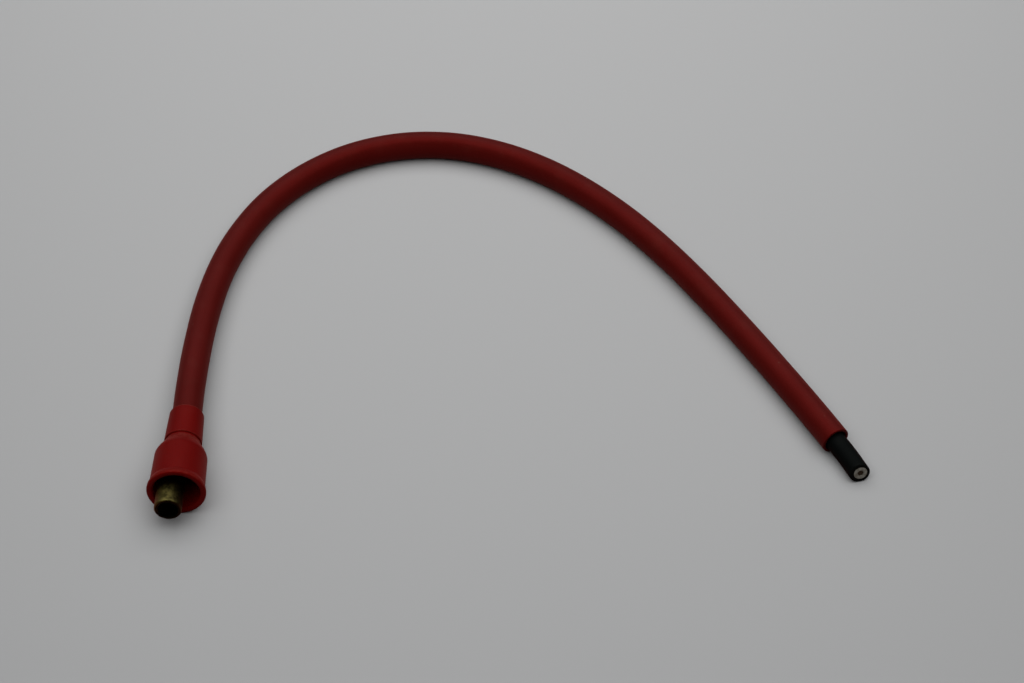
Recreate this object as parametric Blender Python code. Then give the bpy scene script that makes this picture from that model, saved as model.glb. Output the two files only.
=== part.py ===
"""Ignition coil wire: a black high tension cable in a red rubber sleeve.

One end carries a moulded rubber boot with a rolled brass coil terminal in it, and the other end is cut
off plain. The lead lies on the plane z = 0 in a wide arch, as it comes to rest on a bench. The origin is
on that plane, under the middle of the lead's outline. Units are metres and +Z is up.
"""
import math

import bmesh
import bpy
from mathutils import Euler, Matrix, Vector
from mathutils.geometry import interpolate_bezier

# Clearance that pieces keep where they touch on the real lead
GAP = 0.0003

# Cable, from the middle outwards
CORE_DIAMETER = 0.0021
INSULATION_WALL = 0.00105
JACKET_WALL = 0.0008

# Sleeve, which hangs a little loose on the cable
SLEEVE_LOOSENESS = 0.00045
SLEEVE_WALL = 0.00095

# Neck of the boot, with stations measured along the boot's axis from the neck's rear edge
NECK_LENGTH = 0.0127
NECK_REAR_WALL = 0.00055
NECK_FRONT_WALL = 0.00105
NECK_EDGE_RADIUS = 0.00025
SLEEVE_DEPTH = 0.0100
GROOVE_WIDTH = 0.0008
GROOVE_DEPTH = 0.00045
STEP_WIDTH = 0.0009
STEP_HEIGHT = 0.0003
STEP_SPREAD = 0.00005
SHOULDER_WIDTH = 0.0054
SHOULDER_SLOPE_WIDTH = 0.0038
SHOULDER_CORNER_DROP = 0.00007

# Bell of the boot; a spread is how much the radius grows from one end of a stretch to the other
BELL_LENGTH = 0.0118
BELL_REAR_DIAMETER = 0.01734
BELL_SPREAD = 0.00033
BELL_WALL = 0.00145
FLARE_LENGTH = 0.0025
FLARE_SPREAD = 0.00065
BEAD_LENGTH = 0.0002
LIP_ROUNDING = 0.0007
LIP_INNER_ROUNDING = 0.0009
MOUTH_SPREAD = 0.0001
MOUTH_TAPER_LENGTH = 0.0033
CABLE_PASSAGE_PLAY = 0.0014
CAVITY_SETBACK = 0.0005
CAVITY_CONE_LENGTH = 0.0045

# Terminal, a rolled tube that grips the cable inside the bell and leans to one side of the mouth
TERMINAL_LENGTH = 0.0182
TERMINAL_WALL = 0.0006
TERMINAL_CLEARANCE = 0.0004
TERMINAL_OUTREACH = 0.0072
TERMINAL_SIDE_ROOM = 0.00099
TERMINAL_LEAN_DIRECTION = math.radians(194.0)
TERMINAL_EDGE_BREAK = 0.00015
NOSE_ROUNDING = 0.0007
NOSE_TURN_IN = 0.0005
NOSE_LAND = 0.0007
NOSE_TAPER_LENGTH = 0.0007
CABLE_DEPTH_IN_TERMINAL = 0.0100
STRIPPED_LENGTH = 0.0030

# Pose of the boot, which rests on its lip with the neck a little lower than the mouth
NECK_PLACE = (-0.1070, -0.0498)
BOOT_HEADING = math.radians(-0.9)
BOOT_TILT = math.radians(3.0)

# Facets
BOOT_STEPS = 36
TERMINAL_STEPS = 28
SHOULDER_STEPS = 6
FLARE_STEPS = 4
SHARP_EDGE = math.radians(35)
STATION_SPACING = 0.0165
TWELVE_SIDES = 4
TEN_SIDES = 3
EIGHT_SIDES = 2

# Radii that follow from the sizes above
INSULATION_RADIUS = CORE_DIAMETER / 2 + GAP + INSULATION_WALL
JACKET_RADIUS = INSULATION_RADIUS + GAP + JACKET_WALL
SLEEVE_BORE = JACKET_RADIUS + SLEEVE_LOOSENESS
SLEEVE_RADIUS = SLEEVE_BORE + SLEEVE_WALL
TERMINAL_BORE = JACKET_RADIUS + TERMINAL_CLEARANCE
TERMINAL_RADIUS = TERMINAL_BORE + TERMINAL_WALL
BELL_REAR = BELL_REAR_DIAMETER / 2
BELL_FRONT = BELL_REAR + BELL_SPREAD
LIP_RADIUS = BELL_FRONT + FLARE_SPREAD
TERMINAL_LEAN = BELL_FRONT - BELL_WALL - TERMINAL_RADIUS - TERMINAL_SIDE_ROOM

# Stations that follow from the sizes above
STEP_REAR_STATION = NECK_LENGTH + GROOVE_WIDTH
SHOULDER_STATION = STEP_REAR_STATION + STEP_WIDTH
BELL_STATION = SHOULDER_STATION + SHOULDER_WIDTH
FLARE_STATION = BELL_STATION + BELL_LENGTH
BEAD_STATION = FLARE_STATION + FLARE_LENGTH
LIP_STATION = BEAD_STATION + BEAD_LENGTH
MOUTH_STATION = LIP_STATION + LIP_ROUNDING
TERMINAL_STATION = MOUTH_STATION + TERMINAL_OUTREACH - TERMINAL_LENGTH
JACKET_END_STATION = TERMINAL_STATION + CABLE_DEPTH_IN_TERMINAL
CORE_END_STATION = JACKET_END_STATION + STRIPPED_LENGTH

# Route of the lead behind the boot: x, y and how far its middle is over where a resting sleeve has it.
# The thinner cable droops to the bench past the sleeve, so its rise is below zero there.
ROUTE_IN_SLEEVE = [
    (-0.1069, -0.0356, 0.0022),
    (-0.1061, -0.0156, 0.0011),
    (-0.1042, 0.0043, 0.0004),
    (-0.1006, 0.0230, 0.0001),
    (-0.0948, 0.0400, 0.0),
    (-0.0862, 0.0558, 0.0),
    (-0.0744, 0.0693, 0.0),
    (-0.0598, 0.0797, 0.0),
    (-0.0429, 0.0858, 0.0),
    (-0.0250, 0.0869, 0.0),
    (-0.0075, 0.0830, 0.0),
    (0.0096, 0.0747, 0.0),
    (0.0256, 0.0627, 0.0),
    (0.0411, 0.0471, 0.0),
    (0.0559, 0.0282, 0.0),
    (0.0702, 0.0065, 0.0),
    (0.0846, -0.0175, 0.0),
    (0.0974, -0.0401, 0.0),
    (0.1070, -0.0579, 0.0),
]
ROUTE_PAST_SLEEVE = [
    (0.1109, -0.0647, -0.0007),
    (0.1139, -0.0710, -0.0013),
]

# Along the boot's axis: the station, and the share of the terminal's lean that is reached there
ROUTE_IN_BOOT = [
    (CORE_END_STATION, 1.0),
    (JACKET_END_STATION, 1.0),
    (TERMINAL_STATION + 0.5 * CABLE_DEPTH_IN_TERMINAL, 1.0),
    (TERMINAL_STATION, 1.0),
    (0.5 * (TERMINAL_STATION + SLEEVE_DEPTH), 0.5),
    (SLEEVE_DEPTH, 0.0),
    (0.5 * SLEEVE_DEPTH, 0.0),
    (0.0, 0.0),
]
JACKET_START = 1
SLEEVE_START = 5
SLEEVE_END = len(ROUTE_IN_BOOT) + len(ROUTE_IN_SLEEVE) - 1


def clear_scene():
    """Starts from an empty scene."""
    for thing in list(bpy.data.objects):
        bpy.data.objects.remove(thing, do_unlink=True)


def make_material(name, colour, roughness, metallic=0.0):
    """One Principled material in the piece's own colour."""
    material = bpy.data.materials.new(name)
    material.use_nodes = True
    shader = material.node_tree.nodes["Principled BSDF"]
    shader.inputs["Base Color"].default_value = (*colour, 1.0)
    shader.inputs["Roughness"].default_value = roughness
    shader.inputs["Metallic"].default_value = metallic
    return material


def boot_matrix():
    """Carries the boot's own frame, with +Z along its axis to the mouth, to its place on the bench."""
    lip_height = LIP_RADIUS * math.cos(BOOT_TILT)
    neck_height = lip_height - LIP_STATION * math.sin(BOOT_TILT)
    turn = Euler((math.pi / 2 - BOOT_TILT, 0.0, BOOT_HEADING))
    return Matrix.Translation((*NECK_PLACE, neck_height)) @ turn.to_matrix().to_4x4()


def lean_place(share, station):
    """A place in the boot's own frame that is that share of the terminal's lean off the boot's axis."""
    reach = share * TERMINAL_LEAN
    return Vector((
        reach * math.cos(TERMINAL_LEAN_DIRECTION),
        reach * math.sin(TERMINAL_LEAN_DIRECTION),
        station,
    ))


def route_points():
    """The points that the middle of the cable passes through, from the terminal to the cut end."""
    place = boot_matrix()
    points = [place @ lean_place(share, station) for station, share in ROUTE_IN_BOOT]
    for x, y, rise in ROUTE_IN_SLEEVE + ROUTE_PAST_SLEEVE:
        points.append(Vector((x, y, SLEEVE_RADIUS + rise)))
    return points


def smooth_stations(points):
    """Runs one smooth curve through the points and returns its stations, a list for each stretch."""
    reach = [0.0]
    for before, after in zip(points, points[1:]):
        reach.append(reach[-1] + (after - before).length)
    slopes = [(points[1] - points[0]) / reach[1]]
    for i in range(1, len(points) - 1):
        slopes.append((points[i + 1] - points[i - 1]) / (reach[i + 1] - reach[i - 1]))
    slopes.append((points[-1] - points[-2]) / (reach[-1] - reach[-2]))
    stretches = []
    for i in range(len(points) - 1):
        length = reach[i + 1] - reach[i]
        first_handle = points[i] + slopes[i] * length / 3
        second_handle = points[i + 1] - slopes[i + 1] * length / 3
        count = max(1, math.ceil(length / STATION_SPACING)) + 1
        stretches.append(interpolate_bezier(points[i], first_handle, second_handle, points[i + 1], count))
    return stretches


def lay_tube(name, stretches, radius, resolution, material, wall=None):
    """A round length along the route, solid with filled ends, or hollow where a wall is given."""
    path = [stretches[0][0]]
    for stretch in stretches:
        path.extend(stretch[1:])
    curve = bpy.data.curves.new(name, "CURVE")
    curve.dimensions = "3D"
    curve.twist_mode = "Z_UP"
    curve.bevel_depth = radius
    curve.bevel_resolution = resolution
    curve.use_fill_caps = wall is None
    spline = curve.splines.new("POLY")
    spline.points.add(len(path) - 1)
    for point, place in zip(spline.points, path):
        point.co = (*place, 1.0)
    curve.materials.append(material)
    tube = bpy.data.objects.new(name, curve)
    bpy.context.collection.objects.link(tube)
    if wall is not None:
        thickness = tube.modifiers.new("wall", "SOLIDIFY")
        thickness.thickness = wall
        thickness.offset = -1.0
    return tube


def turn_piece(name, outline, steps, material, parent):
    """Turns a closed outline of (station, radius) pairs about the parent's axis."""
    bm = bmesh.new()
    corners = [bm.verts.new((0.0, -radius, station)) for station, radius in outline]
    sides = [bm.edges.new((a, b)) for a, b in zip(corners, corners[1:] + corners[:1])]
    bmesh.ops.spin(
        bm, geom=corners + sides, cent=(0, 0, 0), axis=(0, 0, 1), angle=2 * math.pi, steps=steps, use_merge=True
    )
    bmesh.ops.recalc_face_normals(bm, faces=bm.faces)
    mesh = bpy.data.meshes.new(name)
    bm.to_mesh(mesh)
    bm.free()
    mesh.shade_smooth()
    mesh.set_sharp_from_angle(angle=SHARP_EDGE)
    mesh.materials.append(material)
    piece = bpy.data.objects.new(name, mesh)
    bpy.context.collection.objects.link(piece)
    piece.parent = parent
    return piece


def corner_arc(station, radius, size, start, end, steps):
    """Points of a round corner of that size about a centre, between two angles from the axis direction."""
    points = []
    for i in range(steps + 1):
        angle = math.radians(start + (end - start) * i / steps)
        points.append((station + size * math.cos(angle), radius + size * math.sin(angle)))
    return points


def neck_outside():
    """The outer side of the neck, from its rear edge over the groove to the small step's front."""
    neck_bore = SLEEVE_RADIUS + GAP
    rear = neck_bore + NECK_REAR_WALL
    front = neck_bore + NECK_FRONT_WALL
    groove = front - GROOVE_DEPTH
    step = groove + STEP_HEIGHT
    edge = NECK_EDGE_RADIUS
    outline = corner_arc(edge, rear - edge, edge, 180, 90, 2)
    outline += corner_arc(NECK_LENGTH - edge, front - edge, edge, 90, 0, 2)
    outline += [(NECK_LENGTH, groove), (STEP_REAR_STATION, groove), (STEP_REAR_STATION, step)]
    outline += [(SHOULDER_STATION, step + STEP_SPREAD)]
    return outline


def bell_outside(start_radius):
    """The outer side of the bell, from the sloping shoulder to the lip's outer rounding."""
    start = Vector((SHOULDER_STATION, start_radius))
    corner = Vector((SHOULDER_STATION + SHOULDER_SLOPE_WIDTH, BELL_REAR - SHOULDER_CORNER_DROP))
    end = Vector((BELL_STATION, BELL_REAR))
    outline = []
    for i in range(1, SHOULDER_STEPS + 1):
        share = i / SHOULDER_STEPS
        slope = start.lerp(corner, share)
        outline.append(tuple(slope.lerp(corner.lerp(end, share), share)))
    for i in range(FLARE_STEPS + 1):
        share = i / FLARE_STEPS
        rise = FLARE_SPREAD * share * share * (3 - 2 * share)
        outline.append((FLARE_STATION + FLARE_LENGTH * share, BELL_FRONT + rise))
    outline += corner_arc(LIP_STATION, LIP_RADIUS - LIP_ROUNDING, LIP_ROUNDING, 90, 0, 3)
    return outline


def boot_bore():
    """The inner side of the boot, from the mouth back to the neck's rear edge."""
    neck_bore = SLEEVE_RADIUS + GAP
    front_cavity = BELL_FRONT - BELL_WALL
    rear_cavity = BELL_REAR - BELL_WALL
    mouth = front_cavity + MOUTH_SPREAD
    passage = JACKET_RADIUS + CABLE_PASSAGE_PLAY
    cone_station = SHOULDER_STATION + CAVITY_SETBACK
    sleeve_stop = SLEEVE_DEPTH + GAP
    rounding = LIP_INNER_ROUNDING
    outline = corner_arc(MOUTH_STATION - rounding, mouth + rounding, rounding, 0, -90, 2)
    outline += [(MOUTH_STATION - MOUTH_TAPER_LENGTH, front_cavity)]
    outline += [(cone_station + CAVITY_CONE_LENGTH, rear_cavity), (cone_station, passage)]
    outline += [(sleeve_stop, passage), (sleeve_stop, neck_bore), (0.0, neck_bore)]
    return outline


def boot_outline():
    """The boot's whole section on one side of its axis."""
    outside = neck_outside()
    return outside + bell_outside(outside[-1][1]) + boot_bore()


def terminal_outline():
    """Outer side from the rear edge to the nose, then the bore back, with the nose turned in a little."""
    nose_bore = TERMINAL_BORE - NOSE_TURN_IN
    land_station = TERMINAL_LENGTH - NOSE_LAND
    outline = [(0.0, TERMINAL_RADIUS - TERMINAL_EDGE_BREAK), (TERMINAL_EDGE_BREAK, TERMINAL_RADIUS)]
    outline += corner_arc(
        TERMINAL_LENGTH - NOSE_ROUNDING, TERMINAL_RADIUS - NOSE_ROUNDING, NOSE_ROUNDING, 90, 0, 4
    )
    outline += [(TERMINAL_LENGTH, nose_bore), (land_station, nose_bore)]
    outline += [(land_station - NOSE_TAPER_LENGTH, TERMINAL_BORE), (0.0, TERMINAL_BORE)]
    return outline


clear_scene()

sleeve_red = make_material("sleeve_rubber", (0.33, 0.028, 0.022), 0.55)
boot_red = make_material("boot_rubber", (0.42, 0.022, 0.018), 0.35)
jacket_black = make_material("jacket_rubber", (0.012, 0.013, 0.013), 0.5)
insulation_cream = make_material("insulation", (0.62, 0.60, 0.50), 0.6)
core_metal = make_material("core_strands", (0.30, 0.24, 0.15), 0.5, metallic=0.8)
terminal_brass = make_material("brass", (0.60, 0.46, 0.16), 0.35, metallic=1.0)

boot_axis = bpy.data.objects.new("boot_axis", None)
bpy.context.collection.objects.link(boot_axis)
boot_axis.matrix_world = boot_matrix()

boot = turn_piece("boot", boot_outline(), BOOT_STEPS, boot_red, boot_axis)
terminal = turn_piece("brass_terminal", terminal_outline(), TERMINAL_STEPS, terminal_brass, boot_axis)
terminal.location = lean_place(1.0, TERMINAL_STATION)

route = smooth_stations(route_points())
lay_tube("red_sleeve", route[SLEEVE_START:SLEEVE_END], SLEEVE_RADIUS, TWELVE_SIDES, sleeve_red, SLEEVE_WALL)
lay_tube("cable_jacket", route[JACKET_START:], JACKET_RADIUS, TWELVE_SIDES, jacket_black, JACKET_WALL)
lay_tube(
    "cable_insulation", route[JACKET_START:], INSULATION_RADIUS, TEN_SIDES, insulation_cream, INSULATION_WALL
)
lay_tube("conductor_core", route, CORE_DIAMETER / 2, EIGHT_SIDES, core_metal)
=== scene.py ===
# %% [markdown]
# # Ignition coil wire
# An ignition lead carries the coil's high voltage to the distributor. This one is a black 7 mm cable
# in a loose red rubber sleeve. A moulded red boot with a brass terminal closes one end, and the other
# end is cut off plain. It lies in a wide arch on a pale table.
#
# The solids of the CAD model are already in place. This lesson puts finely made pieces on them, gives
# each one its finish, and lights and photographs the result. Everything is in metres.

# %% Load the frame
import bisect
import math

import bmesh
import bpy
from mathutils import Euler, Matrix, Vector, noise
from mathutils.geometry import interpolate_bezier


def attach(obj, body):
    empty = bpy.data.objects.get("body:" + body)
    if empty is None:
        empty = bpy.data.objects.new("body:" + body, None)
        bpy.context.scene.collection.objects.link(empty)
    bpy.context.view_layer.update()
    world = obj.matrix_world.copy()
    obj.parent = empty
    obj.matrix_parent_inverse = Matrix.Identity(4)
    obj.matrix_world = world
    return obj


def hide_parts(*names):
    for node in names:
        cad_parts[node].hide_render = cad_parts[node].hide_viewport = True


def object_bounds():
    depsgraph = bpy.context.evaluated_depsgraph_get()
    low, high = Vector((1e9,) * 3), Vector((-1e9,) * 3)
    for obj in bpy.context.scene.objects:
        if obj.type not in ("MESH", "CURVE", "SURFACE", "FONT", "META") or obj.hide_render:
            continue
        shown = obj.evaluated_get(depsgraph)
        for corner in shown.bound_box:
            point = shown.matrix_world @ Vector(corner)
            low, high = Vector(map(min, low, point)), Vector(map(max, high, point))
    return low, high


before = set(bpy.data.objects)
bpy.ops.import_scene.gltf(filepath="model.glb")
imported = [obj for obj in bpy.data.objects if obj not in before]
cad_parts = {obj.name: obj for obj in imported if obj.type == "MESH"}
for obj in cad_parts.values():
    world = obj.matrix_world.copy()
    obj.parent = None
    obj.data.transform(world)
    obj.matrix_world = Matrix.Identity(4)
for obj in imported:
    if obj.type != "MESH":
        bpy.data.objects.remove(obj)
cad_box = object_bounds()
print("CAD box in mm:", [[round(1000 * value, 1) for value in corner] for corner in cad_box])

# %% [markdown]
# ## Camera
# The photograph looks down at the lead at 46 degrees with a long lens, so the arch is seen with little
# perspective. A lens of 100 mm on a 36 mm sensor does the same. The depth of field stays off, because
# the part is looked at from other sides too.

# %% Place the camera
CAMERA_PLACE = Vector((0.0004, -0.6846, 0.7009))
CAMERA_PITCH = math.radians(44.0)
LENS_MM = 100.0
SENSOR_WIDTH_MM = 36.0

scene = bpy.context.scene
lens = bpy.data.cameras.new("camera")
lens.lens = LENS_MM
lens.sensor_width = SENSOR_WIDTH_MM
lens.clip_start = 0.01
camera = bpy.data.objects.new("camera", lens)
camera.location = CAMERA_PLACE
camera.rotation_euler = (CAMERA_PITCH, 0.0, 0.0)
scene.collection.objects.link(camera)
scene.camera = camera
scene.view_settings.view_transform = "Standard"
print("camera looks down at", round(90.0 - math.degrees(CAMERA_PITCH)), "degrees")

# %% [markdown]
# ## The boot's axis
# The boot rests on its lip, so its axis tilts up to the mouth by 3 degrees. Every turned piece is made
# upright round +Z first, which keeps its section easy to read, and this matrix then lays it on the
# table. A station is a distance along the axis from the rear edge of the boot's neck.

# %% Lay out the boot's axis
NECK_PLACE = (-0.1070, -0.0498)
BOOT_HEADING = math.radians(-0.9)
BOOT_TILT = math.radians(3.0)
LIP_RADIUS = 0.00965
LIP_STATION = 0.0343

lip_height = LIP_RADIUS * math.cos(BOOT_TILT)
neck_height = lip_height - LIP_STATION * math.sin(BOOT_TILT)
boot_turn = Euler((math.pi / 2 - BOOT_TILT, 0.0, BOOT_HEADING)).to_matrix().to_4x4()
boot_matrix = Matrix.Translation((*NECK_PLACE, neck_height)) @ boot_turn
print("the neck's middle lies", round(1000 * neck_height, 2), "mm above the table")

# %% [markdown]
# ## The route of the lead
# A lead like this is bent by hand, and it keeps a shape with no straight runs and no true arcs. The
# points are listed along the middle of the cable, and a curve with matching slopes runs through
# them. The sleeve has the larger radius, so it decides how high the middle lies over the table.

# %% List the route's points
SLEEVE_RADIUS = 0.0049
SLEEVE_BORE = 0.00395
JACKET_RADIUS = 0.0035

TERMINAL_STATION = 0.0240
TERMINAL_LEAN = 0.00206
TERMINAL_LEAN_DIRECTION = math.radians(194.0)
CABLE_DEPTH_IN_TERMINAL = 0.0100
STRIPPED_LENGTH = 0.0030
SLEEVE_DEPTH = 0.0100

# Station along the boot's axis, and the share of the terminal's lean that is reached there
ROUTE_IN_BOOT = [
    (TERMINAL_STATION + CABLE_DEPTH_IN_TERMINAL + STRIPPED_LENGTH, 1.0),
    (TERMINAL_STATION + CABLE_DEPTH_IN_TERMINAL, 1.0),
    (TERMINAL_STATION + 0.5 * CABLE_DEPTH_IN_TERMINAL, 1.0),
    (TERMINAL_STATION, 1.0),
    (0.5 * (TERMINAL_STATION + SLEEVE_DEPTH), 0.5),
    (SLEEVE_DEPTH, 0.0),
    (0.5 * SLEEVE_DEPTH, 0.0),
    (0.0, 0.0),
]

# x, y and the rise of the middle over where a resting sleeve has it
ROUTE_ON_TABLE = [
    (-0.1069, -0.0356, 0.0022),
    (-0.1061, -0.0156, 0.0011),
    (-0.1042, 0.0043, 0.0004),
    (-0.1006, 0.0230, 0.0001),
    (-0.0948, 0.0400, 0.0),
    (-0.0862, 0.0558, 0.0),
    (-0.0744, 0.0693, 0.0),
    (-0.0598, 0.0797, 0.0),
    (-0.0429, 0.0858, 0.0),
    (-0.0250, 0.0869, 0.0),
    (-0.0075, 0.0830, 0.0),
    (0.0096, 0.0747, 0.0),
    (0.0256, 0.0627, 0.0),
    (0.0411, 0.0471, 0.0),
    (0.0559, 0.0282, 0.0),
    (0.0702, 0.0065, 0.0),
    (0.0846, -0.0175, 0.0),
    (0.0974, -0.0401, 0.0),
    (0.1070, -0.0579, 0.0),
    (0.1109, -0.0647, -0.0007),
    (0.1139, -0.0710, -0.0013),
]
SLEEVE_FIRST_POINT = 5
POINTS_PAST_SLEEVE = 2


def lean_place(station, share):
    """A place in the boot's own frame, off the axis by that share of the terminal's lean."""
    reach = share * TERMINAL_LEAN
    across = Vector((math.cos(TERMINAL_LEAN_DIRECTION), math.sin(TERMINAL_LEAN_DIRECTION), 0.0))
    return reach * across + Vector((0.0, 0.0, station))


route_points = [boot_matrix @ lean_place(station, share) for station, share in ROUTE_IN_BOOT]
route_points += [Vector((x, y, SLEEVE_RADIUS + rise)) for x, y, rise in ROUTE_ON_TABLE]
print(len(route_points), "points along the lead")

# %% Run a smooth curve through them
STEPS_BETWEEN_POINTS = 40


def point_slopes(points):
    """The curve's slope at each point, from its two neighbours."""
    reach = [0.0]
    for before, after in zip(points, points[1:]):
        reach.append(reach[-1] + (after - before).length)
    slopes = [(points[1] - points[0]) / reach[1]]
    for i in range(1, len(points) - 1):
        slopes.append((points[i + 1] - points[i - 1]) / (reach[i + 1] - reach[i - 1]))
    slopes.append((points[-1] - points[-2]) / (reach[-1] - reach[-2]))
    return slopes


def smooth_route(points):
    """Closely spaced places along the curve, and where each of the given points falls in that list."""
    slopes = point_slopes(points)
    places = [points[0]]
    marks = [0]
    for i in range(len(points) - 1):
        third = (points[i + 1] - points[i]).length / 3
        handles = (points[i] + slopes[i] * third, points[i + 1] - slopes[i + 1] * third)
        places += interpolate_bezier(points[i], *handles, points[i + 1], STEPS_BETWEEN_POINTS)[1:]
        marks.append(len(places) - 1)
    return places, marks


route, marks = smooth_route(route_points)
reached = [0.0]
for before, after in zip(route, route[1:]):
    reached.append(reached[-1] + (after - before).length)

JACKET_START = reached[marks[1]]
SLEEVE_START = reached[marks[SLEEVE_FIRST_POINT]]
NECK_EXIT = reached[marks[len(ROUTE_IN_BOOT) - 1]]
SLEEVE_END = reached[marks[-1 - POINTS_PAST_SLEEVE]]
CABLE_END = reached[-1]
print("lead from the stripped tip to the cut end:", round(1000 * CABLE_END, 1), "mm")
print("sleeve:", round(1000 * (SLEEVE_END - SLEEVE_START), 1), "mm")
print("cable out of the sleeve:", round(1000 * (CABLE_END - SLEEVE_END), 1), "mm")

# %% [markdown]
# ## Rings along the route
# An extruded rubber tube has the same section all the way, so it is made as a moving ring: one circle,
# extruded from ring to ring along the route. Each ring has a matrix that carries a unit circle to its
# place. Its local Y points up, so nothing twists, and a lean tips the ring where a cut isn't square.
#
# Each vertex keeps where it would be if the tube were pulled straight. Grain and streaks then follow
# the lead round its bend.

# %% Find the frame of a ring
UP = Vector((0.0, 0.0, 1.0))
SLOPE_REACH = 0.0006


def route_place(distance):
    """The place on the route at that distance from its start, also a little past its ends."""
    i = min(max(bisect.bisect_right(reached, distance) - 1, 0), len(route) - 2)
    share = (distance - reached[i]) / (reached[i + 1] - reached[i])
    return route[i].lerp(route[i + 1], share)


def route_turn(distance):
    """The rotation whose Z runs along the route and whose Y points up."""
    along = (route_place(distance + SLOPE_REACH) - route_place(distance - SLOPE_REACH)).normalized()
    side = UP.cross(along).normalized()
    return Matrix((side, along.cross(side), along)).transposed().to_4x4()


def ring(distance, radius, wear_and_painted_light=0.0, sink=0.0, lean=(0.0, 0.0)):
    """One ring: its matrix, its distance and radius, and the mark for wear and painted light on the surface
    there.
    """
    tip = Matrix.Identity(4)
    tip[2][0], tip[2][1] = lean
    place = Matrix.Translation(route_place(distance) - sink * UP)
    size = Matrix.Diagonal((radius, radius, 1.0, 1.0))
    return {
        "matrix": place @ route_turn(distance) @ tip @ size,
        "distance": distance,
        "radius": radius,
        "wear_and_painted_light": wear_and_painted_light,
    }


print("the route's first direction:", [round(value, 3) for value in route_turn(0.0).col[2][:3]])

# %% Sweep a circle through rings


def sweep_rings(rings, sides, closed):
    """A tube through the rings, joined end to end where it is closed, or with flat ends."""
    bm = bmesh.new()
    straight = bm.verts.layers.float_vector.new("laid_straight")
    wear_and_painted_light = bm.verts.layers.float.new("wear_and_painted_light")

    def note(verts, here):
        back = here["matrix"].inverted()
        for vert in verts:
            flat = back @ vert.co
            vert[straight] = Vector((flat.x * here["radius"], flat.y * here["radius"], here["distance"]))
            vert[wear_and_painted_light] = here["wear_and_painted_light"]

    first = bmesh.ops.create_circle(bm, segments=sides, radius=1.0, matrix=rings[0]["matrix"])
    note(first["verts"], rings[0])
    first_edges = list(bm.edges)
    edges = first_edges
    for before, here in zip(rings, rings[1:]):
        grown = bmesh.ops.extrude_edge_only(bm, edges=edges)["geom"]
        verts = {part for part in grown if isinstance(part, bmesh.types.BMVert)}
        edges = [
            part for part in grown if isinstance(part, bmesh.types.BMEdge) and verts.issuperset(part.verts)
        ]
        bmesh.ops.transform(bm, matrix=here["matrix"] @ before["matrix"].inverted(), verts=list(verts))
        note(verts, here)
    if closed:
        bmesh.ops.bridge_loops(bm, edges=first_edges + edges)
    else:
        bmesh.ops.edgeloop_fill(bm, edges=first_edges)
        bmesh.ops.edgeloop_fill(bm, edges=edges)
    bmesh.ops.recalc_face_normals(bm, faces=bm.faces)
    return bm


# %% Turn a bmesh into a piece
SHARP_EDGE = math.radians(40)


def make_piece(name, bm, slot, *nodes):
    """A smooth object at the origin that rides on the part and stands for those CAD solids."""
    mesh = bpy.data.meshes.new(name)
    bm.to_mesh(mesh)
    bm.free()
    mesh.shade_smooth()
    mesh.set_sharp_from_angle(angle=SHARP_EDGE)
    piece = bpy.data.objects.new(name, mesh)
    scene.collection.objects.link(piece)
    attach(piece, "root")
    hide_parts(*nodes)
    triangles = sum(len(face.vertices) - 2 for face in mesh.polygons)
    print(name, "has", triangles, "triangles")
    return piece


# %% [markdown]
# ## The red sleeve
# The sleeve is a thick extruded rubber tube that was cut square with a knife. It hangs a little loose
# round the cable. Its rings run out along the outer side, round the cut end, back through the bore and
# round the hidden end in the boot, and the last ring is joined to the first, so the wall is closed.
# The radius wanders by a few hundredths of a millimetre, as soft rubber does.

# %% Make the sleeve
RING_SPACING = 0.0020
ROUND_SIDES = 48
SLEEVE_RIM = 0.00030
WANDER = 0.00004
WANDER_LENGTH = 0.014
WANDER_SEED = 7.0


def stations_between(start, end, spacing=RING_SPACING):
    """Evenly spaced distances from the start to the end, both included."""
    count = max(1, math.ceil(abs(end - start) / spacing))
    return [start + (end - start) * i / count for i in range(count + 1)]


def corner(distance, radius, size, start, end, steps=4):
    """Distances and radii round a corner of that size, between two angles from the route's direction."""
    turns = [math.radians(start + (end - start) * i / steps) for i in range(steps + 1)]
    return [(distance + size * math.cos(turn), radius + size * math.sin(turn)) for turn in turns]


def wander(distance):
    """A slow change of radius along the tube."""
    return WANDER * noise.noise(Vector((distance / WANDER_LENGTH, WANDER_SEED, 0.0)))


def sleeve_rings():
    """Rings round the whole section of the sleeve's wall."""
    rim = SLEEVE_RIM
    start = SLEEVE_START
    end = SLEEVE_END
    rings = [ring(d, SLEEVE_RADIUS + wander(d)) for d in stations_between(start + rim, end - rim)]
    # The cut edge and the bore's rim carry the mark that the sleeve's finish turns into painted shade.
    rings += [ring(d, r, wear_and_painted_light=1.0) for d, r in corner(end - rim, SLEEVE_RADIUS - rim, rim, 90, 0)[1:]]
    rings += [ring(d, r, wear_and_painted_light=0.6) for d, r in corner(end - rim, SLEEVE_BORE + rim, rim, 0, -90)]
    bore_stations = stations_between(end - 2 * rim, start + 2 * rim, 2 * RING_SPACING)
    rings += [ring(d, SLEEVE_BORE) for d in bore_stations]
    rings += [ring(d, r) for d, r in corner(start + rim, SLEEVE_BORE + rim, rim, 270, 180)]
    rings += [ring(d, r) for d, r in corner(start + rim, SLEEVE_RADIUS - rim, rim, 180, 90)[:-1]]
    return rings


sleeve_bmesh = sweep_rings(sleeve_rings(), ROUND_SIDES, closed=True)
sleeve = make_piece("red_sleeve_skin", sleeve_bmesh, "sleeve_rubber", "red_sleeve")
tuple(route_place(NECK_EXIT))
[tuple(route_place(d)) for d in stations_between(SLEEVE_START, SLEEVE_END)]

# %% [markdown]
# ## The cable
# Three layers show in the cut face: a black jacket, a cream insulation and a small stranded core. Each
# layer is swept along the same route. Towards the sleeve's open end the cable sinks to the floor of the
# bore, and past it to the table. The insulation isn't quite in the middle of the jacket. The knife went
# through a little askew, so the last rings lean, and all three layers lean alike.

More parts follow.
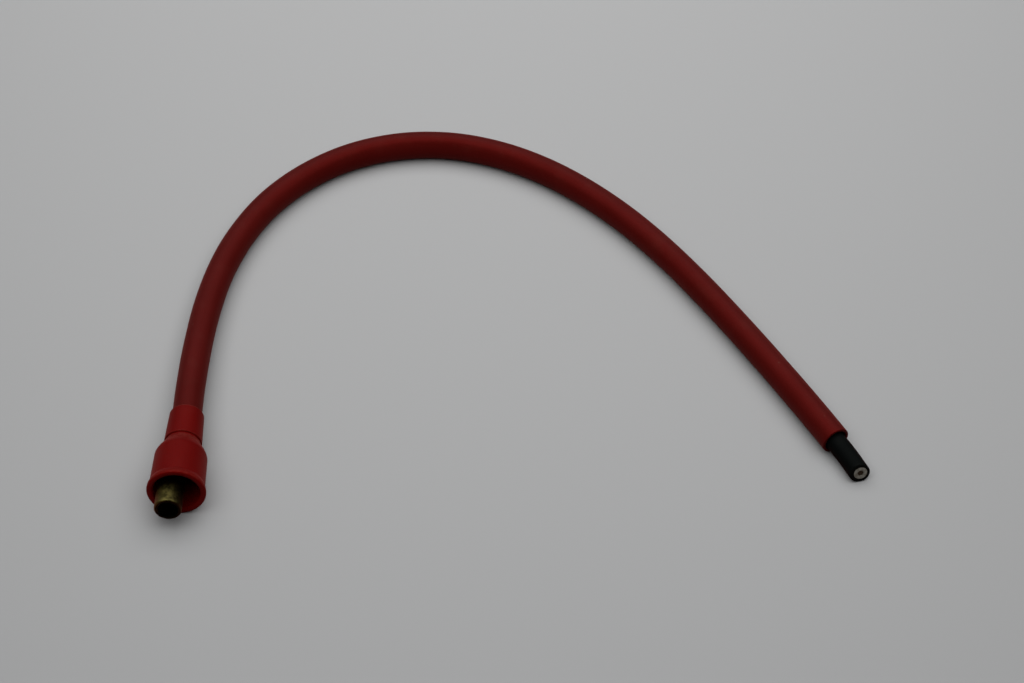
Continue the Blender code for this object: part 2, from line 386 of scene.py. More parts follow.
# %% Let the cable sink
LAY_GAP = 0.00006
SINK_LENGTH = 0.05
SINK_SOFTNESS = 0.003
SINK_SAMPLE_SPACING = 0.001


def ease(share):
    """A smooth climb from 0 to 1."""
    share = min(max(share, 0.0), 1.0)
    return share * share * (3 - 2 * share)


def room_below(distance):
    """How far the cable can sink there: to the floor of the sleeve's bore, and no lower than the table."""
    over_table = route_place(distance).z - JACKET_RADIUS - LAY_GAP
    return max(0.0, min(SLEEVE_BORE - JACKET_RADIUS - LAY_GAP, over_table))


def sink_at(distance):
    """The cable's sink there, evened out over a few millimetres and starting inside the sleeve."""
    nearby = stations_between(distance - SINK_SOFTNESS, distance + SINK_SOFTNESS, SINK_SAMPLE_SPACING)
    rooms = [room_below(min(d, CABLE_END)) for d in nearby]
    mean = sum(rooms) / len(rooms)
    begun = ease((distance - (SLEEVE_END - SINK_LENGTH)) / SINK_LENGTH)
    return min(mean, room_below(distance)) * begun


print("the cable sinks", round(1000 * sink_at(SLEEVE_END), 2), "mm where it leaves the sleeve")

# %% Make the cable's layers
INSULATION_RADIUS = 0.00228
INSULATION_BORE = 0.00106
INSULATION_OFFSET = 0.00025
LAYER_GAP = 0.00002
JACKET_RIM = 0.00035
INSULATION_RIM = 0.00015
CUT_LEAN = (0.20, -0.27)
CUT_LEAN_LENGTH = 0.0035


def cable_ring(distance, radius, wear_and_painted_light=0.0, offset=0.0):
    """A ring of the cable, which sinks in the sleeve, leans near its cut end and may lie off the middle."""
    share = ease((distance - (CABLE_END - CUT_LEAN_LENGTH)) / CUT_LEAN_LENGTH)
    lean = [share * slope for slope in CUT_LEAN]
    here = ring(distance, radius, wear_and_painted_light=wear_and_painted_light, sink=sink_at(distance), lean=lean)
    here["matrix"] = here["matrix"] @ Matrix.Translation((offset / radius, 0.0, 0.0))
    return here


def layer_rings(outer, bore, rim, offset, bore_offset):
    """Rings round the wall of one layer, from the terminal to the cut end and back."""
    start = JACKET_START
    end = CABLE_END
    rings = [cable_ring(d, outer, offset=offset) for d in stations_between(start, end - rim)]
    cut_edge = corner(end - rim, outer - rim, rim, 90, 0)[1:]
    rings += [cable_ring(d, r, wear_and_painted_light=1.0, offset=offset) for d, r in cut_edge]
    rings += [cable_ring(end, bore, wear_and_painted_light=0.5, offset=bore_offset)]
    bore_stations = stations_between(end - rim, start, 3 * RING_SPACING)
    rings += [cable_ring(d, bore, offset=bore_offset) for d in bore_stations]
    return rings


jacket_rings = layer_rings(
    JACKET_RADIUS,
    INSULATION_RADIUS + LAYER_GAP,
    JACKET_RIM,
    offset=0.0,
    bore_offset=INSULATION_OFFSET,
)
jacket_bmesh = sweep_rings(jacket_rings, ROUND_SIDES, closed=True)
jacket = make_piece("cable_jacket_skin", jacket_bmesh, "jacket_rubber", "cable_jacket")

insulation_rings = layer_rings(
    INSULATION_RADIUS,
    INSULATION_BORE,
    INSULATION_RIM,
    offset=INSULATION_OFFSET,
    bore_offset=INSULATION_OFFSET,
)
insulation_bmesh = sweep_rings(insulation_rings, ROUND_SIDES, closed=True)
insulation = make_piece("insulation_layer", insulation_bmesh, "insulation", "cable_insulation")

# %% Twist the core's strands
STRAND_RADIUS = 0.00034
STRAND_SIDES = 10
STRAND_SPACING = 0.002
STRANDS_ROUND_MIDDLE = 6
TWIST_LENGTH = 0.022
STRAND_BACKSET = 0.00012


def strand_bmesh():
    """Seven fine wires, one in the middle and six wound round it, as one bmesh."""
    whole = bmesh.new()
    for i in range(STRANDS_ROUND_MIDDLE + 1):
        orbit_in_radii = 0.0 if i == 0 else 2.0
        start_turn = 2 * math.pi * i / STRANDS_ROUND_MIDDLE
        rings = []
        for distance in stations_between(0.0, CABLE_END - STRAND_BACKSET, STRAND_SPACING):
            turn = start_turn + 2 * math.pi * distance / TWIST_LENGTH
            here = cable_ring(distance, STRAND_RADIUS, offset=INSULATION_OFFSET)
            aside = Vector((math.cos(turn), math.sin(turn), 0.0))
            here["matrix"] = here["matrix"] @ Matrix.Translation(orbit_in_radii * aside)
            rings.append(here)
        strand = sweep_rings(rings, STRAND_SIDES, closed=False)
        mesh = bpy.data.meshes.new("strand")
        strand.to_mesh(mesh)
        strand.free()
        whole.from_mesh(mesh)
        bpy.data.meshes.remove(mesh)
    return whole


core = make_piece("core_strands_bundle", strand_bmesh(), "core_strands", "conductor_core")
[
        tuple(cable_ring(d, 1.0)["matrix"].translation) for d in stations_between(JACKET_START, CABLE_END)
    ]

# %% [markdown]
# ## The boot
# The boot is one rubber moulding: a thin neck that was pushed over the sleeve, a groove, a small step, a
# sloping shoulder that rolls over into the bell, and a flare to a round lip. It is turned from its
# section with a full spin. The corners are arcs, because a mould's corners are, and the shoulder and
# the flare are smooth curves.

# %% Draw the boot's section
NECK_LENGTH = 0.0127
NECK_BORE = 0.0052
NECK_REAR_RADIUS = 0.00575
NECK_FRONT_RADIUS = 0.00625
NECK_EDGE = 0.00025
GROOVE_WIDTH = 0.0008
GROOVE_RADIUS = 0.00580
STEP_WIDTH = 0.0009
STEP_RADIUS = 0.00610
STEP_SPREAD = 0.00005
STEP_EDGE = 0.00015
SHOULDER_WIDTH = 0.0054
SHOULDER_SLOPE_WIDTH = 0.0038
SHOULDER_CORNER_DROP = 0.00007
# The paler paint on the shoulder's rear and on the flare is partly wear and partly painted highlight
SHOULDER_WEAR_AND_LIGHT_SHARE = 0.75
BELL_REAR_RADIUS = 0.00867
BELL_FRONT_RADIUS = 0.00900
FLARE_LENGTH = 0.0025
FLARE_WEAR_AND_LIGHT = 0.3
BEAD_LENGTH = 0.0002
LIP_ROUNDING = 0.0007
LIP_INNER_ROUNDING = 0.0009
BELL_WALL = 0.00145
MOUTH_SPREAD = 0.0001
MOUTH_TAPER_LENGTH = 0.0033
PASSAGE_RADIUS = 0.0049
SLEEVE_STOP_GAP = 0.0003
CAVITY_SETBACK = 0.0005
CAVITY_CONE_LENGTH = 0.0045

STEP_REAR_STATION = NECK_LENGTH + GROOVE_WIDTH
SHOULDER_STATION = STEP_REAR_STATION + STEP_WIDTH
BELL_STATION = SHOULDER_STATION + SHOULDER_WIDTH
BEAD_STATION = LIP_STATION - BEAD_LENGTH
FLARE_STATION = BEAD_STATION - FLARE_LENGTH
MOUTH_STATION = LIP_STATION + LIP_ROUNDING
EDGE_STEPS = 5
SHOULDER_STEPS = 14
FLARE_STEPS = 12


def with_wear_and_light(points, wear_and_painted_light):
    """The same points, each with how much wear and painted highlight the finish lays on the surface there.
    """
    return [(station, radius, wear_and_painted_light) for station, radius in points]


def neck_section():
    """The neck's outer side, its groove and the small step."""
    edge = NECK_EDGE
    points = with_wear_and_light(corner(edge, NECK_REAR_RADIUS - edge, edge, 180, 90, EDGE_STEPS), 1.0)
    points += with_wear_and_light([(2 * edge, NECK_REAR_RADIUS), (NECK_LENGTH - 2 * edge, NECK_FRONT_RADIUS)], 0.0)
    points += with_wear_and_light(corner(NECK_LENGTH - edge, NECK_FRONT_RADIUS - edge, edge, 90, 0, EDGE_STEPS), 0.5)
    points += with_wear_and_light([(NECK_LENGTH, GROOVE_RADIUS), (STEP_REAR_STATION, GROOVE_RADIUS)], 0.0)
    edge = STEP_EDGE
    points += with_wear_and_light(corner(STEP_REAR_STATION + edge, STEP_RADIUS - edge, edge, 180, 90, EDGE_STEPS), 0.6)
    points += with_wear_and_light([(SHOULDER_STATION, STEP_RADIUS + STEP_SPREAD)], 1.0)
    return points


def bell_section():
    """The sloping shoulder, the bell's outer side, the flare and the lip's round bead."""
    start = Vector((SHOULDER_STATION, STEP_RADIUS + STEP_SPREAD))
    roll = Vector((SHOULDER_STATION + SHOULDER_SLOPE_WIDTH, BELL_REAR_RADIUS - SHOULDER_CORNER_DROP))
    end = Vector((BELL_STATION, BELL_REAR_RADIUS))
    points = []
    for i in range(1, SHOULDER_STEPS + 1):
        share = i / SHOULDER_STEPS
        place = start.lerp(roll, share).lerp(roll.lerp(end, share), share)
        points.append((*place, 1.0 - ease(share / SHOULDER_WEAR_AND_LIGHT_SHARE)))
    for i in range(FLARE_STEPS + 1):
        share = i / FLARE_STEPS
        station = FLARE_STATION + FLARE_LENGTH * share
        radius = BELL_FRONT_RADIUS + (LIP_RADIUS - BELL_FRONT_RADIUS) * ease(share)
        points.append((station, radius, FLARE_WEAR_AND_LIGHT * share * share))
    lip = corner(LIP_STATION, LIP_RADIUS - LIP_ROUNDING, LIP_ROUNDING, 90, 0, 2 * EDGE_STEPS)
    return points + with_wear_and_light(lip[:EDGE_STEPS], 0.5) + with_wear_and_light(lip[EDGE_STEPS:], 0.0)


def boot_bore_section():
    """The boot's inner side, from the lip back to the neck's rear edge."""
    cavity = BELL_FRONT_RADIUS - BELL_WALL
    rear_cavity = BELL_REAR_RADIUS - BELL_WALL
    cone = SHOULDER_STATION + CAVITY_SETBACK
    stop = SLEEVE_DEPTH + SLEEVE_STOP_GAP
    size = LIP_INNER_ROUNDING
    mouth = cavity + MOUTH_SPREAD
    points = corner(MOUTH_STATION - size, mouth + size, size, 0, -90, EDGE_STEPS)
    points += [(MOUTH_STATION - MOUTH_TAPER_LENGTH, cavity)]
    points += [(cone + CAVITY_CONE_LENGTH, rear_cavity), (cone, PASSAGE_RADIUS)]
    points += [(stop, PASSAGE_RADIUS), (stop, NECK_BORE), (NECK_EDGE, NECK_BORE)]
    return with_wear_and_light(points, 0.0)


boot_section = neck_section() + bell_section() + boot_bore_section()
print("the boot's section has", len(boot_section), "points")

# %% Turn the boot
BOOT_STEPS = 128


def spin_section(section, steps, place):
    """Turns a closed section of (station, radius, wear) about +Z and lays it in its place."""
    bm = bmesh.new()
    straight = bm.verts.layers.float_vector.new("laid_straight")
    wear_and_painted_light = bm.verts.layers.float.new("wear_and_painted_light")
    corners = []
    for station, radius, amount in section:
        vert = bm.verts.new((radius, 0.0, station))
        vert[wear_and_painted_light] = amount
        corners.append(vert)
    sides = [bm.edges.new(pair) for pair in zip(corners, corners[1:] + corners[:1])]
    bmesh.ops.spin(
        bm,
        geom=corners + sides,
        cent=(0.0, 0.0, 0.0),
        axis=(0.0, 0.0, 1.0),
        angle=2 * math.pi,
        steps=steps,
        use_merge=True,
    )
    for vert in bm.verts:
        vert[straight] = vert.co
    bmesh.ops.recalc_face_normals(bm, faces=bm.faces)
    bmesh.ops.transform(bm, matrix=place, verts=bm.verts)
    return bm


boot_bmesh = spin_section(boot_section, BOOT_STEPS, boot_matrix)
boot = make_piece("boot_moulding", boot_bmesh, "boot_rubber", "boot")

# %% [markdown]
# ## The brass terminal
# The terminal is rolled from thin brass sheet, and its nose is turned in a little so that it springs
# round the coil's pin. Its rear end grips the cable inside the bell. It is turned like the boot, and
# placed off the boot's axis, where the photograph shows it leaning to one side of the mouth.

# %% Turn the terminal
TERMINAL_LENGTH = 0.0182
TERMINAL_RADIUS = 0.0045
TERMINAL_BORE = 0.0039
TERMINAL_EDGE = 0.00015
NOSE_BORE = 0.0034
NOSE_ROUNDING = 0.0007
NOSE_LAND = 0.0007
NOSE_TAPER_LENGTH = 0.0007
TERMINAL_STEPS = 96


def terminal_section():
    """The outer side from the rear edge to the nose, then the bore back."""
    edge = TERMINAL_EDGE
    land = TERMINAL_LENGTH - NOSE_LAND
    nose = (TERMINAL_LENGTH - NOSE_ROUNDING, TERMINAL_RADIUS - NOSE_ROUNDING)
    points = corner(edge, TERMINAL_RADIUS - edge, edge, 180, 90, EDGE_STEPS)
    points += [(TERMINAL_LENGTH - 2 * NOSE_ROUNDING, TERMINAL_RADIUS)]
    points += corner(*nose, NOSE_ROUNDING, 90, 0, 2 * EDGE_STEPS)
    points += [(TERMINAL_LENGTH, NOSE_BORE + edge)]
    points += [(TERMINAL_LENGTH - edge, NOSE_BORE), (land, NOSE_BORE)]
    points += [(land - NOSE_TAPER_LENGTH, TERMINAL_BORE), (0.0, TERMINAL_BORE)]
    return with_wear_and_light(points, 0.0)


terminal_matrix = boot_matrix @ Matrix.Translation(lean_place(TERMINAL_STATION, 1.0))
terminal_bmesh = spin_section(terminal_section(), TERMINAL_STEPS, terminal_matrix)
terminal = make_piece("brass_terminal_tube", terminal_bmesh, "brass", "brass_terminal")

# %% [markdown]
# ## Effects that the finishes share
# Rubber, brass and cream insulation differ in colour, but the same few things happen to them: slow
# changes of tone, fine grain, a little dust, and wear along the edges, where some finishes also lay
# painted light and painted shade. Each of these is a node group, built once, and a finish places it
# with its own values. The groups put out colours and masks only.

# %% Helpers for nodes


def fill_inputs(tree, node, inputs):
    """Links each input that is given a socket, and sets the others to their plain values."""
    for name, value in inputs.items():
        if isinstance(value, bpy.types.NodeSocket):
            tree.links.new(value, node.inputs[name])
        else:
            node.inputs[name].default_value = value


def add_node(tree, kind, inputs=None, **settings):
    """A node with its settings made and its inputs set or linked."""
    node = tree.nodes.new(kind)
    for name, value in settings.items():
        setattr(node, name, value)
    fill_inputs(tree, node, inputs or {})
    return node


def start_group(name, inputs, outputs):
    """An empty node group with its sockets, its input node and its output node."""
    group = bpy.data.node_groups.new(name, "ShaderNodeTree")
    for title, kind in inputs.items():
        group.interface.new_socket(title, in_out="INPUT", socket_type="NodeSocket" + kind)
    for title, kind in outputs.items():
        group.interface.new_socket(title, in_out="OUTPUT", socket_type="NodeSocket" + kind)
    source = group.nodes.new("NodeGroupInput").outputs
    result = group.nodes.new("NodeGroupOutput").inputs
    return group, source, result


def place_group(tree, group, inputs):
    """One use of a node group in a material, with its own values."""
    node = tree.nodes.new("ShaderNodeGroup")
    node.node_tree = group
    fill_inputs(tree, node, inputs)
    return node.outputs


def math_node(tree, operation, first, second, clamp=False):
    """One sum, and its result."""
    node = add_node(tree, "ShaderNodeMath", {0: first, 1: second}, operation=operation, use_clamp=clamp)
    return node.outputs[0]


def mix_colour(tree, share, first, second):
    """A colour between two others. The node keeps its colour sockets behind those for numbers."""
    node = add_node(tree, "ShaderNodeMix", {0: share, 6: first, 7: second}, data_type="RGBA")
    return node.outputs[2]


def remap(tree, value, low, high, to_low=0.0, to_high=1.0, smooth=True):
    """A value moved from one range to another, with soft ends."""
    kind = "SMOOTHSTEP" if smooth else "LINEAR"
    inputs = {"Value": value, "From Min": low, "From Max": high, "To Min": to_low, "To Max": to_high}
    return add_node(tree, "ShaderNodeMapRange", inputs, interpolation_type=kind).outputs[0]


# %% Slow changes of tone
# The streaks are noise that is stretched along the tube, as an extruder leaves them.
NOISE_LOW = 0.35
NOISE_HIGH = 0.65

group, source, result = start_group(
    "slow_tone", {"Place": "Vector", "Scale": "Float", "Streaks": "Float"}, {"Tone": "Float"}
)
clouds = add_node(
    group, "ShaderNodeTexNoise", {"Vector": source["Place"], "Scale": source["Scale"], "Detail": 3.0}
)
stretched = add_node(
    group, "ShaderNodeMapping", {"Vector": source["Place"], "Scale": (1.0, 1.0, 0.06)}
)
lines = add_node(
    group,
    "ShaderNodeTexNoise",
    {
        "Vector": stretched.outputs[0],
        "Scale": math_node(group, "MULTIPLY", source["Scale"], 9.0),
        "Detail": 2.0,
    },
)
cloud_tone = remap(group, clouds.outputs[0], NOISE_LOW, NOISE_HIGH)
line_tone = remap(group, lines.outputs[0], NOISE_LOW, NOISE_HIGH)
mixed = add_node(group, "ShaderNodeMix", {0: source["Streaks"], 2: cloud_tone, 3: line_tone})
group.links.new(mixed.outputs[0], result["Tone"])
slow_tone = group
print("made", group.name)

# %% Fine grain
group, source, result = start_group(
    "fine_grain", {"Place": "Vector", "Scale": "Float"}, {"Height": "Float", "Roughness Shift": "Float"}
)
small = add_node(
    group, "ShaderNodeTexNoise", {"Vector": source["Place"], "Scale": source["Scale"], "Detail": 4.0}
)
pits = add_node(
    group,
    "ShaderNodeTexVoronoi",
    {"Vector": source["Place"], "Scale": math_node(group, "MULTIPLY", source["Scale"], 0.35)},
)
pit_depth = remap(group, pits.outputs["Distance"], 0.0, 0.25, -0.5, 0.0)
group.links.new(math_node(group, "ADD", small.outputs[0], pit_depth), result["Height"])
group.links.new(remap(group, small.outputs[0], 0.3, 0.7, -0.06, 0.06), result["Roughness Shift"])
fine_grain = group
print("made", group.name)

# %% Settled dust
# Dust lies on what faces up, thinly and in patches, with a few larger specks of lint.
group, source, result = start_group(
    "settled_dust", {"Place": "Vector", "Amount": "Float", "Specks": "Float"}, {"Mask": "Float"}
)
facing = add_node(group, "ShaderNodeNewGeometry")
height = add_node(group, "ShaderNodeSeparateXYZ", {0: facing.outputs["Normal"]}).outputs["Z"]
up_facing = remap(group, height, 0.1, 0.95)
patches = add_node(group, "ShaderNodeTexNoise", {"Vector": source["Place"], "Scale": 160.0, "Detail": 5.0})
film = math_node(group, "MULTIPLY", remap(group, patches.outputs[0], 0.48, 0.8), source["Amount"])
dots = add_node(group, "ShaderNodeTexVoronoi", {"Vector": source["Place"], "Scale": 420.0})
near_dot = remap(group, dots.outputs["Distance"], 0.10, 0.20, 1.0, 0.0)
chosen = add_node(group, "ShaderNodeSeparateXYZ", {0: dots.outputs["Color"]}).outputs["X"]
rare = remap(group, chosen, 0.93, 0.95)
speck = math_node(group, "MULTIPLY", math_node(group, "MULTIPLY", near_dot, rare), source["Specks"])
total = math_node(group, "MULTIPLY", math_node(group, "ADD", film, speck), up_facing, clamp=True)
group.links.new(total, result["Mask"])
settled_dust = group
print("made", group.name)

# %% Wear and painted light along edges
# Each mesh keeps a value on its corners that marks wear, and on the sleeve and the boot also painted
# shade and painted highlight. Noise breaks it up so that no edge is evenly marked.
group, source, result = start_group(
    "edge_wear_and_painted_light", {"Place": "Vector", "Scale": "Float", "Amount": "Float"}, {"Mask": "Float"}
)
marked_places = add_node(group, "ShaderNodeAttribute", attribute_name="wear_and_painted_light")
breaks = add_node(
    group, "ShaderNodeTexNoise", {"Vector": source["Place"], "Scale": source["Scale"], "Detail": 4.0}
)
broken = remap(group, breaks.outputs[0], NOISE_LOW, NOISE_HIGH, 0.2, 1.0)
amount = math_node(group, "MULTIPLY", marked_places.outputs["Fac"], source["Amount"])
group.links.new(math_node(group, "MULTIPLY", amount, broken, clamp=True), result["Mask"])
edge_wear_and_painted_light = group
print("made", group.name)

# %% [markdown]
# ## Finishes
# Each finish starts from one Principled shader. What is the same all over is set on the shader itself,
# and what changes over the surface comes through the groups.

# %% A helper that starts a finish


def start_finish(name, roughness, tint=(1.0, 1.0, 1.0), metallic=0.0, level=0.5):
    """A material with a Principled shader, and the place on the straightened piece."""
    material = bpy.data.materials.new(name)
    material.use_nodes = True
    tree = material.node_tree
    shader = tree.nodes["Principled BSDF"]
    shader.inputs["Roughness"].default_value = roughness
    shader.inputs["Metallic"].default_value = metallic
    shader.inputs["Specular Tint"].default_value = (*tint, 1.0)
    shader.inputs["Specular IOR Level"].default_value = level
    place = add_node(tree, "ShaderNodeAttribute", attribute_name="laid_straight").outputs["Vector"]
    return material, tree, shader, place


def set_roughness(tree, shader, shift):
    """Lets the grain shift the roughness that the finish started with."""
    roughness = shader.inputs["Roughness"]
    tree.links.new(math_node(tree, "ADD", shift, roughness.default_value, clamp=True), roughness)


def set_bump(tree, shader, height, distance):
    """Fine relief on the shader's normal."""
    bump = add_node(tree, "ShaderNodeBump", {"Height": height, "Distance": distance, "Strength": 1.0})
    tree.links.new(bump.outputs[0], shader.inputs["Normal"])


# %% Sleeve rubber
# Dull dark red, a little streaky along its length, with thin dust on top. Its cut end and the rim of its
# bore are painted darker as painted shade.
DUSTY_RED = (0.22, 0.12, 0.09, 1.0)

sleeve_finish, tree, shader, place = start_finish(
    "sleeve_rubber_finish", 0.34, tint=(1.0, 0.08, 0.07), level=0.13
)
tone = place_group(tree, slow_tone, {"Place": place, "Scale": 55.0, "Streaks": 0.45})["Tone"]
red = mix_colour(tree, tone, (0.060, 0.0034, 0.0026, 1.0), (0.070, 0.0044, 0.0036, 1.0))
# Painted shade on the cut end and the bore's rim
wear_and_painted_light = place_group(tree, edge_wear_and_painted_light, {"Place": place, "Scale": 1500.0, "Amount": 0.9})["Mask"]
red = mix_colour(tree, wear_and_painted_light, red, (0.036, 0.0010, 0.0010, 1.0))
dust = place_group(tree, settled_dust, {"Place": place, "Amount": 0.02, "Specks": 0.12})["Mask"]
red = mix_colour(tree, dust, red, DUSTY_RED)
tree.links.new(red, shader.inputs["Base Color"])
grain = place_group(tree, fine_grain, {"Place": place, "Scale": 2600.0})
set_roughness(tree, shader, grain["Roughness Shift"])
set_bump(tree, shader, grain["Height"], 0.00002)
sleeve.data.materials.append(sleeve_finish)
print("finished", sleeve_finish.name)

# %% Boot rubber
# Moulded and smoother than the sleeve, and a purer red. Its edges, the step, the shoulder's rear and the
# flare towards the lip are painted paler, partly rubbed wear and partly painted highlight where they catch
# the light.
boot_finish, tree, shader, place = start_finish(
    "boot_rubber_finish", 0.34, tint=(1.0, 0.10, 0.08), level=0.13
)
tone = place_group(tree, slow_tone, {"Place": place, "Scale": 90.0, "Streaks": 0.15})["Tone"]
red = mix_colour(tree, tone, (0.097, 0.0012, 0.0009, 1.0), (0.108, 0.0020, 0.0015, 1.0))
# Paler paint on the edges: partly wear, partly painted highlight
wear_and_painted_light = place_group(tree, edge_wear_and_painted_light, {"Place": place, "Scale": 1200.0, "Amount": 0.6})["Mask"]
red = mix_colour(tree, wear_and_painted_light, red, (0.14, 0.022, 0.016, 1.0))
dust = place_group(tree, settled_dust, {"Place": place, "Amount": 0.01, "Specks": 0.1})["Mask"]
red = mix_colour(tree, dust, red, DUSTY_RED)
tree.links.new(red, shader.inputs["Base Color"])
grain = place_group(tree, fine_grain, {"Place": place, "Scale": 3000.0})
set_roughness(tree, shader, grain["Roughness Shift"])
set_bump(tree, shader, grain["Height"], 0.000012)
boot.data.materials.append(boot_finish)
print("finished", boot_finish.name)

# %% Jacket rubber
# Black, smooth and slightly green, and a little paler round the cut.
jacket_finish, tree, shader, place = start_finish("jacket_rubber_finish", 0.45, level=0.015)
wear_and_painted_light = place_group(tree, edge_wear_and_painted_light, {"Place": place, "Scale": 2200.0, "Amount": 0.25})["Mask"]
black = mix_colour(tree, wear_and_painted_light, (0.0024, 0.0029, 0.0028, 1.0), (0.012, 0.013, 0.011, 1.0))
dust = place_group(tree, settled_dust, {"Place": place, "Amount": 0.01, "Specks": 0.04})["Mask"]
black = mix_colour(tree, dust, black, (0.10, 0.10, 0.09, 1.0))
tree.links.new(black, shader.inputs["Base Color"])
grain = place_group(tree, fine_grain, {"Place": place, "Scale": 2400.0})
set_roughness(tree, shader, grain["Roughness Shift"])
set_bump(tree, shader, grain["Height"], 0.000015)
jacket.data.materials.append(jacket_finish)
print("finished", jacket_finish.name)

# %% Insulation
# Matt cream, soiled in patches.
insulation_finish, tree, shader, place = start_finish("insulation_finish", 0.6, level=0.3)
tone = place_group(tree, slow_tone, {"Place": place, "Scale": 900.0, "Streaks": 0.0})["Tone"]
cream = mix_colour(tree, tone, (0.125, 0.117, 0.092, 1.0), (0.21, 0.203, 0.175, 1.0))
tree.links.new(cream, shader.inputs["Base Color"])
grain = place_group(tree, fine_grain, {"Place": place, "Scale": 3200.0})
set_roughness(tree, shader, grain["Roughness Shift"])
set_bump(tree, shader, grain["Height"], 0.00002)
insulation.data.materials.append(insulation_finish)
print("finished", insulation_finish.name)

# %% Core strands
# Dull olive wire ends with a little bare metal.
core_finish, tree, shader, place = start_finish("core_strands_finish", 0.5, metallic=0.6)
tone = place_group(tree, slow_tone, {"Place": place, "Scale": 1400.0, "Streaks": 0.2})["Tone"]
olive = mix_colour(tree, tone, (0.016, 0.016, 0.008, 1.0), (0.060, 0.058, 0.034, 1.0))
tree.links.new(olive, shader.inputs["Base Color"])
grain = place_group(tree, fine_grain, {"Place": place, "Scale": 4000.0})
set_roughness(tree, shader, grain["Roughness Shift"])
core.data.materials.append(core_finish)
print("finished", core_finish.name)

# %% Brass
# Tarnished in blotches, from yellow metal to olive. The tube is painted lighter on the boot's left and
# darker on its right: painted light and painted shade, as if the light fell from the left.
# The nose's face is painted dark, partly tarnish and partly painted shade, and the painted shade reaches
# further back on its underside, which faces the table.
PAINTED_SIDE_SHARE = 0.6
SIDE_REACH_ON_TUBE = 0.9 * TERMINAL_RADIUS
NOSE_DARK_ABOVE = 0.00008
NOSE_DARK_BELOW = 0.0010
NOSE_DARK_FADE = 0.00006

brass_finish, tree, shader, place = start_finish("brass_finish", 0.46, metallic=1.0)
tone = place_group(tree, slow_tone, {"Place": place, "Scale": 620.0, "Streaks": 0.1})["Tone"]
brass = mix_colour(tree, tone, (0.028, 0.024, 0.007, 1.0), (0.115, 0.096, 0.030, 1.0))
where = add_node(tree, "ShaderNodeSeparateXYZ", {0: place}).outputs
# Painted shade on the tube's right side, painted light on its left
painted_shade_right = remap(tree, where["X"], 0.0, SIDE_REACH_ON_TUBE, 0.0, PAINTED_SIDE_SHARE)
brass = mix_colour(tree, painted_shade_right, brass, (0.020, 0.012, 0.005, 1.0))
painted_light_left = remap(tree, where["X"], -SIDE_REACH_ON_TUBE, 0.0, PAINTED_SIDE_SHARE, 0.0)
brass = mix_colour(tree, painted_light_left, brass, (0.17, 0.14, 0.036, 1.0))
# Painted shade on the nose, reaching furthest back on its underside
dark_depth = remap(
    tree, where["Y"], -0.8 * TERMINAL_RADIUS, -0.1 * TERMINAL_RADIUS, NOSE_DARK_BELOW, NOSE_DARK_ABOVE
)
behind_nose = math_node(tree, "SUBTRACT", TERMINAL_LENGTH, where["Z"])
into_dark = math_node(tree, "SUBTRACT", dark_depth, behind_nose)
nose = remap(tree, into_dark, 0.0, NOSE_DARK_FADE)
brass = mix_colour(tree, nose, brass, (0.008, 0.007, 0.003, 1.0))
tree.links.new(brass, shader.inputs["Base Color"])
grain = place_group(tree, fine_grain, {"Place": place, "Scale": 2200.0})
set_roughness(tree, shader, grain["Roughness Shift"])
set_bump(tree, shader, grain["Height"], 0.000008)
terminal.data.materials.append(brass_finish)
print("finished", brass_finish.name)

# %% [markdown]
# ## Table and light
# The photograph has a plain pale table and one broad soft light overhead. The table is a large plane.
# An area lamp, nearly twice as wide as its height over the table, gives the soft shadow that hugs the
# sleeve. The surroundings are pale behind the lead and dark on the camera's side, and that is what the
# rubber and the brass mirror.

# %% Lay the table
TABLE_SIZE = 8.0
TABLE_DROP = 0.00002

table_bmesh = bmesh.new()
bmesh.ops.create_grid(table_bmesh, x_segments=1, y_segments=1, size=TABLE_SIZE / 2)
table_mesh = bpy.data.meshes.new("table")
table_bmesh.to_mesh(table_mesh)
table_bmesh.free()
table = bpy.data.objects.new("table", table_mesh)
table.location = (0.0, 0.0, cad_box[0][2] - TABLE_DROP)
scene.collection.objects.link(table)

# The paper is painted a little paler towards the back and darker to the sides: painted light and painted
# shade for the falloff of the light.
TABLE_FRONT = (0.386, 0.388, 0.391, 1.0)
TABLE_BACK = (0.476, 0.478, 0.480, 1.0)
TABLE_FRONT_Y = -0.15
TABLE_BACK_Y = 0.18
SIDE_PAINTED_SHADE = 0.08
SIDE_REACH = 0.20

table_finish = bpy.data.materials.new("table_finish")
table_finish.use_nodes = True
tree = table_finish.node_tree
table_shader = tree.nodes["Principled BSDF"]
table_shader.inputs["Roughness"].default_value = 0.9
table_shader.inputs["Specular IOR Level"].default_value = 0.1
table_place = add_node(tree, "ShaderNodeTexCoord").outputs["Object"]
across_table = add_node(tree, "ShaderNodeSeparateXYZ", {0: table_place}).outputs
backward = remap(tree, across_table["Y"], TABLE_FRONT_Y, TABLE_BACK_Y, smooth=False)
paper = mix_colour(tree, backward, TABLE_FRONT, TABLE_BACK)
sideward = remap(tree, math_node(tree, "ABSOLUTE", across_table["X"], 0.0), 0.0, SIDE_REACH, smooth=False)
painted_side_shade = math_node(tree, "MULTIPLY", math_node(tree, "POWER", sideward, 2.0), SIDE_PAINTED_SHADE)
paper = mix_colour(tree, painted_side_shade, paper, (0.0, 0.0, 0.0, 1.0))

# The rubber mirrors a darker table, reddened by the rubber's own light on the paper beside it,
# because a white rim would hide how deep its red is
MIRRORED_TABLE = (0.30, 0.12, 0.11, 1.0)
mirrored_table = add_node(tree, "ShaderNodeLightPath").outputs["Is Glossy Ray"]
paper = mix_colour(tree, mirrored_table, paper, MIRRORED_TABLE)
tree.links.new(paper, table_shader.inputs["Base Color"])
table_mesh.materials.append(table_finish)
print("the table lies at", round(1000 * table.location.z, 3), "mm")

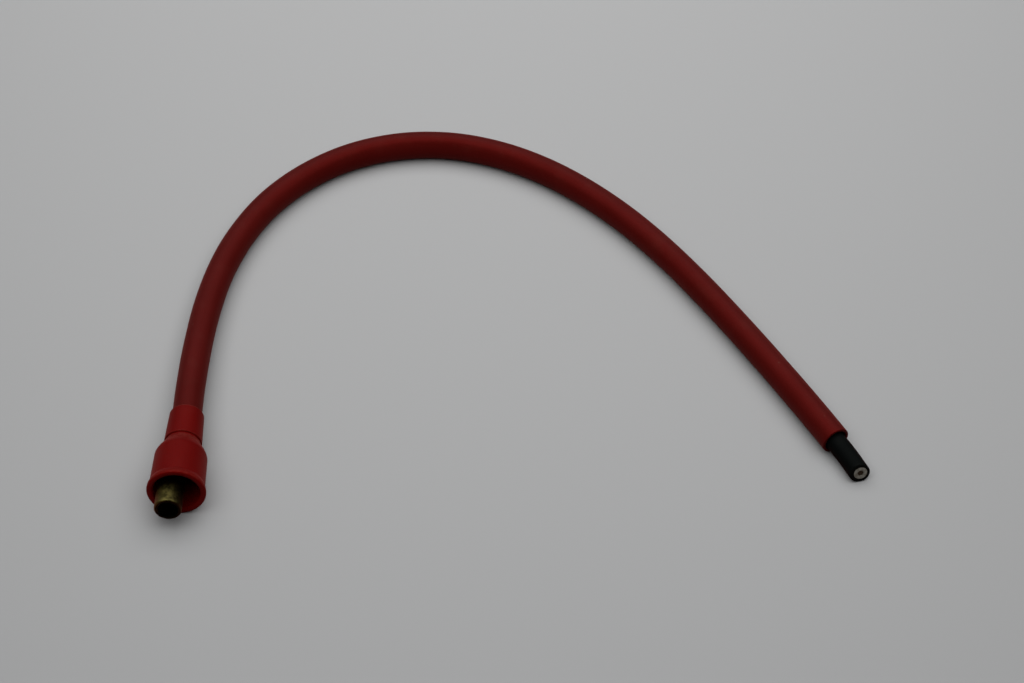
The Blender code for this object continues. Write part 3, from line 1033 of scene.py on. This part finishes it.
# %% Hang the lamp
LAMP_SIZE = 1.75
LAMP_PLACE = (-0.02, 0.06, 0.95)
LAMP_POWER = 17.0

lamp_data = bpy.data.lights.new("overhead_lamp", "AREA")
lamp_data.shape = "SQUARE"
lamp_data.size = LAMP_SIZE
lamp_data.energy = LAMP_POWER
lamp = bpy.data.objects.new("overhead_lamp", lamp_data)
lamp.location = LAMP_PLACE
lamp.visible_glossy = False
scene.collection.objects.link(lamp)
print("the lamp is", LAMP_SIZE, "m wide and hangs", LAMP_PLACE[2], "m up")

# %% Make the surroundings
# The border of the pale part runs from side to side, a little on the camera's side of straight up.
PALE_BORDER = math.radians(76.0)
BORDER_SOFTNESS = 0.05
DARK_SIDE = 0.02
REAR_LOW = 0.12
STRAIGHT_UP = 3.0
FALL_STARTS = 0.2
SURROUND_FILL = 0.05


def grey(value):
    """A plain grey as a colour with four numbers."""
    return (value, value, value, 1.0)


world = bpy.data.worlds.new("studio")
world.use_nodes = True
scene.world = world
tree = world.node_tree
direction = add_node(tree, "ShaderNodeTexCoord").outputs["Generated"]
border_normal = (0.0, math.sin(PALE_BORDER), math.cos(PALE_BORDER))
beyond = add_node(tree, "ShaderNodeVectorMath", {0: direction, 1: border_normal}, operation="DOT_PRODUCT")
pale = remap(tree, beyond.outputs["Value"], -BORDER_SOFTNESS, BORDER_SOFTNESS)
upward = add_node(tree, "ShaderNodeSeparateXYZ", {0: direction}).outputs["Z"]
climb = remap(tree, upward, FALL_STARTS, 1.0, smooth=False)
pale_tone = mix_colour(tree, math_node(tree, "POWER", climb, 2.0), grey(REAR_LOW), grey(STRAIGHT_UP))
mirrored = mix_colour(tree, pale, grey(DARK_SIDE), pale_tone)
is_glossy = add_node(tree, "ShaderNodeLightPath").outputs["Is Glossy Ray"]
colour = mix_colour(tree, is_glossy, grey(SURROUND_FILL), mirrored)
tree.links.new(colour, tree.nodes["Background"].inputs["Color"])
print("surroundings are pale beyond", round(math.degrees(PALE_BORDER)), "degrees from the camera's side")
